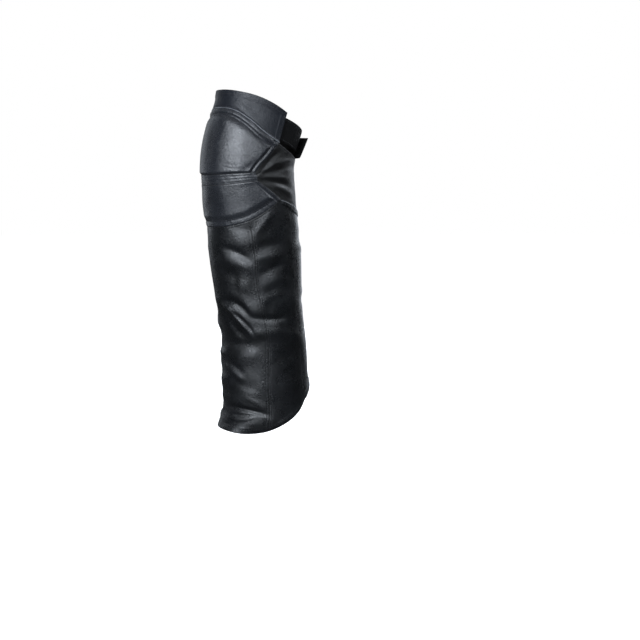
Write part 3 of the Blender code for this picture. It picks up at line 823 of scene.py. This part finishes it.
# Rows of stitching on each panel: side, distance from the edge in millimetres, and
# the stretch of the side in shares of its length
STRAP_ROWS = (
    ("low", STRAP_INSET, 0.0, 1.0),
    ("top", STRAP_INSET, 0.0, 1.0),
)
STITCH_ROWS = {
    "top_band": (
        ("top", 6.5, 0.01, 0.99),
        ("low", STITCH_INSET, 0.01, 0.99),
        ("start", 3.0, 0.06, 0.88),
        ("end", 3.0, 0.06, 0.88),
    ),
    "upper_knee_panel": (
        ("top", STITCH_INSET, 0.01, 0.99),
        ("top", 8.9, 0.07, 0.93),
        ("start", STITCH_INSET, 0.03, 0.97),
        ("end", STITCH_INSET, 0.03, 0.97),
        ("start", 8.9, 0.04, 0.84),
        ("end", 8.9, 0.04, 0.84),
    ),
    "knee_strip": (("top", 3.0, 0.01, 0.99), ("low", 3.0, 0.01, 0.99)),
    "lower_knee_panel": (
        ("low", STITCH_INSET, 0.01, 0.99),
        ("low", 8.9, 0.06, 0.94),
        ("start", STITCH_INSET, 0.03, 0.97),
        ("end", STITCH_INSET, 0.03, 0.97),
    ),
    "knee_gusset": (("top", 5.0, 0.22, 0.78),),
    "shin_panel": (
        ("end", STITCH_INSET, 0.01, 0.995),
        ("low", 6.5, 0.0, 1.0),
    ),
    "calf_inner_panel": (
        ("start", STITCH_INSET, 0.01, 0.995),
        ("end", STITCH_INSET, 0.01, 0.995),
        ("low", 6.5, 0.0, 1.0),
    ),
    "calf_back_panel": (
        ("end", STITCH_INSET, 0.01, 0.995),
        ("top", STITCH_INSET, 0.01, 0.99),
        ("top", 6.8, 0.01, 0.99),
        ("low", 6.5, 0.0, 1.0),
    ),
    "strap_inner": STRAP_ROWS,
    "strap_outer": (*STRAP_ROWS, ("start", STRAP_INSET, 0.08, 0.92)),
}


def stitches_of(name):
    """All the stitching that lies on one panel, as one mesh."""
    maker = bmesh.new()
    for row in STITCH_ROWS[name]:
        sew(maker, stitch_row(PANELS[name], *row))
    mesh = bpy.data.meshes.new(name + "_stitches")
    maker.to_mesh(mesh)
    maker.free()
    mesh.shade_smooth()
    return mesh


class Nodes:
    """A small helper that adds and links nodes of one tree."""

    def __init__(self, tree):
        self.tree = tree

    def put(self, value, socket):
        """Links an output to an input socket, or gives the socket a plain value."""
        if isinstance(value, bpy.types.NodeSocket):
            self.tree.links.new(value, socket)
        else:
            socket.default_value = value

    def add(self, kind, inputs=(), **settings):
        """A new node, with its settings first and then its inputs."""
        node = self.tree.nodes.new(kind)
        for key, value in settings.items():
            setattr(node, key, value)
        for key, value in dict(inputs).items():
            self.put(value, node.inputs[key])
        return node

    def object_place(self):
        return self.add("ShaderNodeTexCoord").outputs["Object"]

    def math(self, operation, *values):
        return self.add("ShaderNodeMath", enumerate(values), operation=operation).outputs[0]

    def vector(self, operation, inputs):
        return self.add("ShaderNodeVectorMath", inputs, operation=operation).outputs[0]

    def ramp(self, value, low, high, out_low=0.0, out_high=1.0):
        """A smooth step of a value from low to high."""
        inputs = {
            "Value": value, "From Min": low, "From Max": high,
            "To Min": out_low, "To Max": out_high,
        }
        node = self.add("ShaderNodeMapRange", inputs, interpolation_type="SMOOTHSTEP")
        return node.outputs["Result"]

    def mix(self, amount, first, second, blend_type="MIX"):
        inputs = {MIX_AMOUNT: amount, MIX_FIRST: first, MIX_SECOND: second}
        node = self.add("ShaderNodeMix", inputs, data_type="RGBA", blend_type=blend_type)
        return node.outputs[MIX_RESULT]

    def noise(self, place, scale, detail, roughness=0.5):
        inputs = {"Vector": place, "Scale": scale, "Detail": detail, "Roughness": roughness}
        return self.add("ShaderNodeTexNoise", inputs).outputs

    def cells(self, place, scale, feature="DISTANCE_TO_EDGE", randomness=1.0):
        inputs = {"Vector": place, "Scale": scale, "Randomness": randomness}
        return self.add("ShaderNodeTexVoronoi", inputs, feature=feature).outputs["Distance"]

    def attribute(self, name):
        return self.add("ShaderNodeAttribute", attribute_name=name).outputs["Fac"]

    def bump(self, height, distance):
        return self.add("ShaderNodeBump", {"Height": height, "Distance": distance}).outputs[0]


# Sockets of the colour mix node
MIX_AMOUNT = 0
MIX_FIRST = 6
MIX_SECOND = 7
MIX_RESULT = 2

FLOAT = "NodeSocketFloat"
VECTOR = "NodeSocketVector"
COLOUR = "NodeSocketColor"


def new_group(name, inputs, outputs):
    """A shader node group: its nodes, the values given to it and those it puts out."""
    group = bpy.data.node_groups.new(name, "ShaderNodeTree")
    for socket, kind in inputs.items():
        group.interface.new_socket(socket, in_out="INPUT", socket_type=kind)
    for socket, kind in outputs.items():
        group.interface.new_socket(socket, in_out="OUTPUT", socket_type=kind)
    nodes = Nodes(group)
    given = nodes.add("NodeGroupInput").outputs
    result = nodes.add("NodeGroupOutput").inputs
    return nodes, given, result


def pebble_grain_group():
    """Leather grain: small rounded pebbles between fine creases, as a height."""
    nodes, given, result = new_group(
        "pebble_grain",
        {"Vector": VECTOR, "Pebbles per metre": FLOAT},
        {"Height": FLOAT, "Creases": FLOAT},
    )
    place = given["Vector"]
    count = given["Pebbles per metre"]
    bend = nodes.noise(place, scale=260.0, detail=2.0)["Color"]
    bend = nodes.vector("SCALE", {0: bend, "Scale": 0.0014})
    bent = nodes.vector("ADD", {0: place, 1: bend})
    pebbles = nodes.ramp(nodes.cells(bent, count), 0.0, 0.22)
    large = nodes.cells(bent, nodes.math("MULTIPLY", count, 0.42))
    creases = nodes.ramp(large, 0.0, 0.10)
    dust = nodes.noise(place, scale=2600.0, detail=2.0)["Fac"]
    mottle = nodes.noise(place, scale=340.0, detail=4.0)["Fac"]
    total = nodes.math("MULTIPLY", pebbles, 0.5)
    for height, share in ((creases, 0.9), (dust, 0.25), (mottle, 6.5)):
        total = nodes.math("MULTIPLY_ADD", height, share, total)
    nodes.put(total, result["Height"])
    nodes.put(creases, result["Creases"])
    return nodes.tree


def tone_wear_and_painted_light_group():
    """Slow changes of tone and gloss over worn leather, lighter worn edges, painted shade
    along the seam lines, and a painted highlight line on some folded edges that is partly edge
    wear.
    """
    nodes, given, result = new_group(
        "tone_wear_and_painted_light",
        {
            "Vector": VECTOR,
            "Edge distance": FLOAT,
            "Highlight line distance": FLOAT,
            "Dark": COLOUR,
            "Light": COLOUR,
        },
        {"Color": COLOUR, "Gloss change": FLOAT},
    )
    place = given["Vector"]
    edge = given["Edge distance"]
    clouds = nodes.noise(place, scale=22.0, detail=5.0, roughness=0.6)["Fac"]
    patches = nodes.ramp(clouds, 0.32, 0.70)
    speckle = nodes.noise(place, scale=420.0, detail=3.0)["Fac"]
    wear_and_sheen = nodes.ramp(edge, 0.6, 3.2, 1.0, 0.0)
    wear_and_sheen = nodes.math("MULTIPLY", wear_and_sheen, nodes.ramp(speckle, 0.45, 0.7))
    amount = nodes.math("MULTIPLY_ADD", wear_and_sheen, 0.5, nodes.math("MULTIPLY", patches, 0.6))
    tone = nodes.mix(amount, given["Dark"], given["Light"])
    # Painted highlight: a pale grey line along the named folded edges, partly edge wear
    line = nodes.ramp(given["Highlight line distance"], 0.2, 1.7, 1.0, 0.0)
    tone = nodes.mix(nodes.math("MULTIPLY", line, 0.75), tone, HIGHLIGHT_LINE_GREY)
    # Painted shade: colour darkened down to 0.15 within a millimetre of each seam, except on
    # the painted highlight line
    seam_shade = nodes.math("MAXIMUM", nodes.ramp(edge, 0.1, 1.0, 0.15, 1.0), line)
    nodes.put(nodes.mix(1.0, tone, seam_shade, "MULTIPLY"), result["Color"])
    fine = nodes.noise(place, scale=60.0, detail=4.0)["Fac"]
    change = nodes.math("MULTIPLY", nodes.math("SUBTRACT", fine, 0.5), 0.32)
    change = nodes.math("MULTIPLY_ADD", wear_and_sheen, -0.12, change)
    change = nodes.math("MULTIPLY_ADD", nodes.math("SUBTRACT", 1.0, seam_shade), 0.5, change)
    nodes.put(change, result["Gloss change"])
    return nodes.tree


def new_finish(name, constants):
    """A material, its nodes and the inputs of its shader, with some of them set."""
    material = bpy.data.materials.new(name)
    material.use_nodes = True
    nodes = Nodes(material.node_tree)
    shader = material.node_tree.nodes["Principled BSDF"].inputs
    for key, value in constants.items():
        shader[key].default_value = value
    return material, nodes, shader


def leather(name, dark, light, roughness, grain, gloss=0.5):
    """A dyed grain leather, with its darkest and lightest colour, painted shade along its seam
    lines and a painted highlight line on some folded edges.
    """
    material, nodes, shader = new_finish(name, {"Specular IOR Level": gloss})
    place = nodes.object_place()
    tone = nodes.add(
        "ShaderNodeGroup",
        {
            "Vector": place,
            "Edge distance": nodes.attribute("edge_distance"),
            "Highlight line distance": nodes.attribute("highlight_line_distance"),
            "Dark": (*dark, 1.0),
            "Light": (*light, 1.0),
        },
        node_tree=TONE_WEAR_AND_PAINTED_LIGHT,
    ).outputs
    pebbles = nodes.add(
        "ShaderNodeGroup", {"Vector": place, "Pebbles per metre": grain},
        node_tree=PEBBLE_GRAIN,
    ).outputs
    valleys = nodes.math("MULTIPLY_ADD", pebbles["Creases"], 0.35, 0.65)
    colour = nodes.mix(1.0, tone["Color"], valleys, "MULTIPLY")
    rough = nodes.math("ADD", tone["Gloss change"], roughness)
    rough = nodes.math("MULTIPLY_ADD", pebbles["Creases"], -0.06, rough)
    nodes.put(colour, shader["Base Color"])
    nodes.put(rough, shader["Roughness"])
    nodes.put(nodes.bump(pebbles["Height"], GRAIN_BUMP), shader["Normal"])
    return material


def raw_side(name):
    """The flesh side of the leather, a short dark nap."""
    constants = {
        "Specular IOR Level": 0.25,
        "Sheen Weight": 0.25,
        "Sheen Roughness": 0.6,
        "Roughness": 0.92,
    }
    material, nodes, shader = new_finish(name, constants)
    place = nodes.object_place()
    clouds = nodes.ramp(nodes.noise(place, scale=90.0, detail=6.0)["Fac"], 0.3, 0.7)
    fibre = nodes.noise(place, scale=1500.0, detail=3.0)["Fac"]
    nodes.put(nodes.mix(clouds, RAW_DARK, RAW_LIGHT), shader["Base Color"])
    nodes.put(nodes.bump(fibre, NAP_BUMP), shader["Normal"])
    return material


def napped_strap(name):
    """The strap's webbing: close loops under a short black nap."""
    constants = {"Specular IOR Level": 0.12, "Roughness": 0.85}
    material, nodes, shader = new_finish(name, constants)
    place = nodes.object_place()
    loops = nodes.cells(place, scale=900.0, feature="F1", randomness=0.5)
    loops = nodes.ramp(loops, 0.1, 0.7, 1.0, 0.0)
    nap = nodes.noise(place, scale=700.0, detail=4.0)["Fac"]
    colour = nodes.mix(nodes.ramp(nap, 0.3, 0.7), STRAP_DARK, STRAP_LIGHT)
    nodes.put(colour, shader["Base Color"])
    height = nodes.math("MULTIPLY_ADD", nap, 0.6, loops)
    nodes.put(nodes.bump(height, WEAVE_BUMP), shader["Normal"])
    return material


def thread(name):
    """Dark twisted sewing thread."""
    material, nodes, shader = new_finish(name, {"Roughness": 0.55})
    place = nodes.object_place()
    twist = nodes.noise(place, scale=1800.0, detail=2.0)["Fac"]
    nodes.put(nodes.mix(twist, THREAD_DARK, THREAD_LIGHT), shader["Base Color"])
    return material


# Colours of the finishes, and heights of their bumps in metres
# Grey of the painted highlight line on folded edges, partly edge wear
HIGHLIGHT_LINE_GREY = (0.20, 0.21, 0.23, 1.0)
RAW_DARK = (0.018, 0.018, 0.019, 1.0)
RAW_LIGHT = (0.036, 0.035, 0.035, 1.0)
STRAP_DARK = (0.0012, 0.0012, 0.0012, 1.0)
STRAP_LIGHT = (0.0040, 0.0040, 0.0041, 1.0)
THREAD_DARK = (0.008, 0.008, 0.009, 1.0)
THREAD_LIGHT = (0.024, 0.024, 0.026, 1.0)
GRAIN_BUMP = 0.00007
NAP_BUMP = 0.0003
WEAVE_BUMP = 0.00025

PEBBLE_GRAIN = pebble_grain_group()
TONE_WEAR_AND_PAINTED_LIGHT = tone_wear_and_painted_light_group()

# Leathers: darkest and lightest colour, roughness, pebbles per metre and specular level
LEATHERS = {
    # The knee copy is lighter than the body: partly the knee panels' own greyer tone, partly
    # painted light where the knee faces the lamps
    "knee": ((0.012, 0.0132, 0.0158), (0.022, 0.0242, 0.0290), 0.31, 800.0, 0.5),
    "band": ((0.005, 0.006, 0.009), (0.010, 0.012, 0.016), 0.44, 900.0, 0.30),
    "body": ((0.0035, 0.004, 0.0045), (0.009, 0.010, 0.0115), 0.35, 900.0, 0.45),
    # The gusset copy is the same black leather made darker: painted shade behind the knee
    "gusset": ((0.003, 0.003, 0.003), (0.007, 0.0075, 0.0075), 0.46, 1000.0, 0.4),
}

# Each panel's finish
DRESS = {
    "top_band": "band",
    "upper_knee_panel": "knee",
    "knee_strip": "knee",
    "lower_knee_panel": "knee",
    "knee_gusset": "gusset",
    "shin_panel": "body",
    "calf_inner_panel": "body",
    "calf_back_panel": "body",
    "strap_inner": "strap",
    "strap_outer": "strap",
}
PADDED = ("upper_knee_panel", "lower_knee_panel")


def make_finishes():
    finishes = {kind: leather(kind + "_leather", *made) for kind, made in LEATHERS.items()}
    finishes["raw"] = raw_side("raw_side")
    finishes["strap"] = napped_strap("strap_nap")
    finishes["thread"] = thread("thread")
    return finishes


def dress_panels(finishes):
    for name, finish in DRESS.items():
        is_strap = finish == "strap"
        inside = finishes["strap" if is_strap else "raw"]
        cloth = "_webbing" if is_strap else "_leather"
        piece = add_piece(name + cloth, fine_wall(name), finishes[finish], inside)
        soft_rim(piece)
        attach(piece, "root")
        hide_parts(name)
        sewing = add_piece(name + "_sewing", stitches_of(name), finishes["thread"])
        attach(sewing, "root")
        if name in PADDED:
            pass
        else:
            width, length, area = PANELS[name].flat_size()


# The photograph's camera, in degrees, metres and pixels
CAMERA_AZIMUTH = 60.0
CAMERA_DISTANCE = 2.4
FOCAL_PIXELS = 1466.0
PHOTO_SIZE = 640
KNEE_PIXEL_X = 248.0
KNEE_PIXEL_Y = 175.0
HORIZON_PIXEL_Y = 190.0
SENSOR = 36.0

# Floor height and the lamps' aim, in metres, and the studio's light
FLOOR_HEIGHT = -0.585
FLOOR_RADIUS = 14.0
LAMP_AIM_HEIGHT = -0.2
ROOM_LIGHT = 0.05
OVERHEAD_LIGHT = 0.4
OVERHEAD_SPREAD = 80.0
COOL_WHITE = (0.86, 0.92, 1.0)

# The floor as the camera sees it, and as it lights the part
FLOOR_WHITE = 0.90
FLOOR_BOUNCE = 0.05
FLOOR_GLOW = 0.85

# Lamps: name, azimuth, elevation, distance, width, height and radiance
LAMPS = (
    ("key", 33.0, 28.0, 1.9, 0.85, 0.95, 16.0),
    ("low", 31.0, 2.0, 1.9, 1.7, 0.9, 3.3),
    ("fill", 78.0, 31.0, 2.0, 1.5, 1.1, 4.8),
    ("rim", -82.0, 14.0, 2.0, 1.2, 1.5, 0.75),
    ("outer", -135.0, 26.0, 2.2, 1.5, 1.2, 3.2),
    ("back", 172.0, 34.0, 2.3, 1.6, 1.1, 3.6),
    ("backdrop", 222.0, 10.0, 2.6, 2.4, 2.2, 1.4),
)


def knee_centre():
    centre_y, centre_z = FORM.centre(0.0)
    return Vector((0.0, float(centre_y), float(centre_z))) * MM


def face_along(placed, direction):
    """Turns a camera or lamp so that it looks in a direction."""
    placed.rotation_mode = "QUATERNION"
    placed.rotation_quaternion = direction.to_track_quat("-Z", "Y")


def place_camera():
    """The photograph's camera: the knee lies left of the middle, the horizon above."""
    azimuth = math.radians(CAMERA_AZIMUTH)
    pitch = math.atan((PHOTO_SIZE / 2 - HORIZON_PIXEL_Y) / FOCAL_PIXELS)
    yaw = math.atan((PHOTO_SIZE / 2 - KNEE_PIXEL_X) / FOCAL_PIXELS)
    back = Vector((math.sin(azimuth), -math.cos(azimuth), 0.0))
    right = Vector((math.cos(azimuth), math.sin(azimuth), 0.0))
    up = Vector((0.0, 0.0, 1.0))
    level = -back * math.cos(yaw) + right * math.sin(yaw)
    drop = (HORIZON_PIXEL_Y - KNEE_PIXEL_Y) * CAMERA_DISTANCE / FOCAL_PIXELS
    data = bpy.data.cameras.new("camera")
    data.sensor_width = SENSOR
    data.lens = FOCAL_PIXELS * SENSOR / PHOTO_SIZE
    data.clip_end = 100.0
    camera = add_object("camera", data)
    camera.location = knee_centre() + back * CAMERA_DISTANCE - up * drop
    face_along(camera, level * math.cos(pitch) - up * math.sin(pitch))
    bpy.context.scene.camera = camera


def softbox(name, azimuth, elevation, distance, width, height, radiance):
    """A rectangular lamp at an azimuth round the part, facing it."""
    data = bpy.data.lights.new(name, "AREA")
    data.shape = "RECTANGLE"
    data.size = width
    data.size_y = height
    data.energy = radiance * math.pi * width * height
    data.color = COOL_WHITE
    a = math.radians(azimuth)
    e = math.radians(elevation)
    away = Vector((math.sin(a) * math.cos(e), -math.cos(a) * math.cos(e), math.sin(e)))
    lamp = add_object(name, data)
    lamp.location = Vector((0.0, 0.0, LAMP_AIM_HEIGHT)) + away * distance
    face_along(lamp, -away)
    lamp.visible_camera = False


def light_room():
    world = bpy.data.worlds.new("studio")
    bpy.context.scene.world = world
    world.use_nodes = True
    nodes = Nodes(world.node_tree)
    background = world.node_tree.nodes["Background"].inputs
    to_camera = nodes.add("ShaderNodeLightPath").outputs["Is Camera Ray"]
    strength = nodes.math("MULTIPLY_ADD", to_camera, 1.0 - ROOM_LIGHT, ROOM_LIGHT)
    nodes.put((1.0, 1.0, 1.0, 1.0), background["Color"])
    nodes.put(strength, background["Strength"])
    for lamp in LAMPS:
        softbox(*lamp)
    overhead = bpy.data.lights.new("overhead", "SUN")
    overhead.energy = OVERHEAD_LIGHT
    overhead.angle = math.radians(OVERHEAD_SPREAD)
    add_object("overhead", overhead)
    bpy.context.scene.view_settings.view_transform = "Standard"


def lay_floor():
    """A plain floor that is white to the camera and dark to the part."""
    maker = bmesh.new()
    bmesh.ops.create_circle(maker, cap_ends=True, segments=96, radius=FLOOR_RADIUS)
    bmesh.ops.translate(maker, verts=maker.verts[:], vec=(0.0, 0.0, FLOOR_HEIGHT))
    mesh = bpy.data.meshes.new("floor")
    maker.to_mesh(mesh)
    maker.free()
    constants = {
        "Emission Strength": FLOOR_GLOW,
        "Roughness": 0.9,
        "Specular IOR Level": 0.0,
    }
    material, nodes, shader = new_finish("pale_floor", constants)
    to_camera = nodes.add("ShaderNodeLightPath").outputs["Is Camera Ray"]
    white = nodes.math("MULTIPLY_ADD", to_camera, FLOOR_WHITE - FLOOR_BOUNCE, FLOOR_BOUNCE)
    nodes.put(white, shader["Base Color"])
    nodes.put(to_camera, shader["Emission Color"])
    add_piece("floor", mesh, material)


place_camera()
dress_panels(make_finishes())
light_room()
lay_floor()
